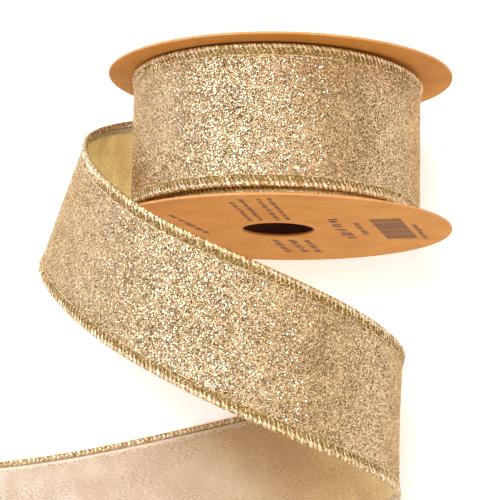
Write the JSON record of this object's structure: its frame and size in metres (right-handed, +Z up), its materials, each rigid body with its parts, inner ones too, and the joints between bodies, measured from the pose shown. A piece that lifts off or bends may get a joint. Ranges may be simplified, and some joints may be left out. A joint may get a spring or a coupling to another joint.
{
  "type": "ribbon spool",
  "caption": "Kraft board spool of wired glitter ribbon lying on its rims, with a loose outer turn and a pulled-off tail that loops beside it.",
  "frame": {"origin": "middle of the spool's arbor axis, halfway between the two flanges", "axes": "+Y along the arbor axis towards the far flange, +Z up with the spool lying on its flange rims, +X to the right seen from above with +Y ahead; the tail lies on the -Y side and its end points along -X"},
  "size_m": [0.1331, 0.1398, 0.093],
  "materials": {
    "kraft_board": "matte, uncoated brown board with dark brown print",
    "core_paper": "matte, spiral-wound grey-brown paper",
    "glue": "set hot-melt adhesive, cloudy amber",
    "tape": "crepe paper tape",
    "glitter_fabric": "champagne-gold glitter face on a pale gold satin back",
    "edging_thread": "glossy gold metallic thread, overlocked",
    "edge_wire": "bright soft craft wire"
  },
  "bodies": {
    "ribbon": {"turn_fabric": "glitter_fabric", "turn_near_edging": "edging_thread", "turn_far_edging": "edging_thread", "turn_near_wire": "edge_wire", "turn_far_wire": "edge_wire", "tail_fabric": "glitter_fabric", "tail_near_edging": "edging_thread", "tail_far_edging": "edging_thread", "tail_near_wire": "edge_wire", "tail_far_wire": "edge_wire"},
    "spool": {"near_flange": "kraft_board", "far_flange": "kraft_board", "core_tube": "core_paper", "near_glue_bead": "glue", "far_glue_bead": "glue", "starter_tape": "tape", "wound_fabric": "glitter_fabric", "wound_near_edging": "edging_thread", "wound_far_edging": "edging_thread", "wound_near_wire": "edge_wire", "wound_far_wire": "edge_wire"}
  },
  "joints": [
    {"name": "spool_spin", "type": "hinge", "parent": "ribbon", "child": "spool", "pos_m": [0, 0, 0], "axis": [0, 1, 0], "continuous": true}
  ]
}
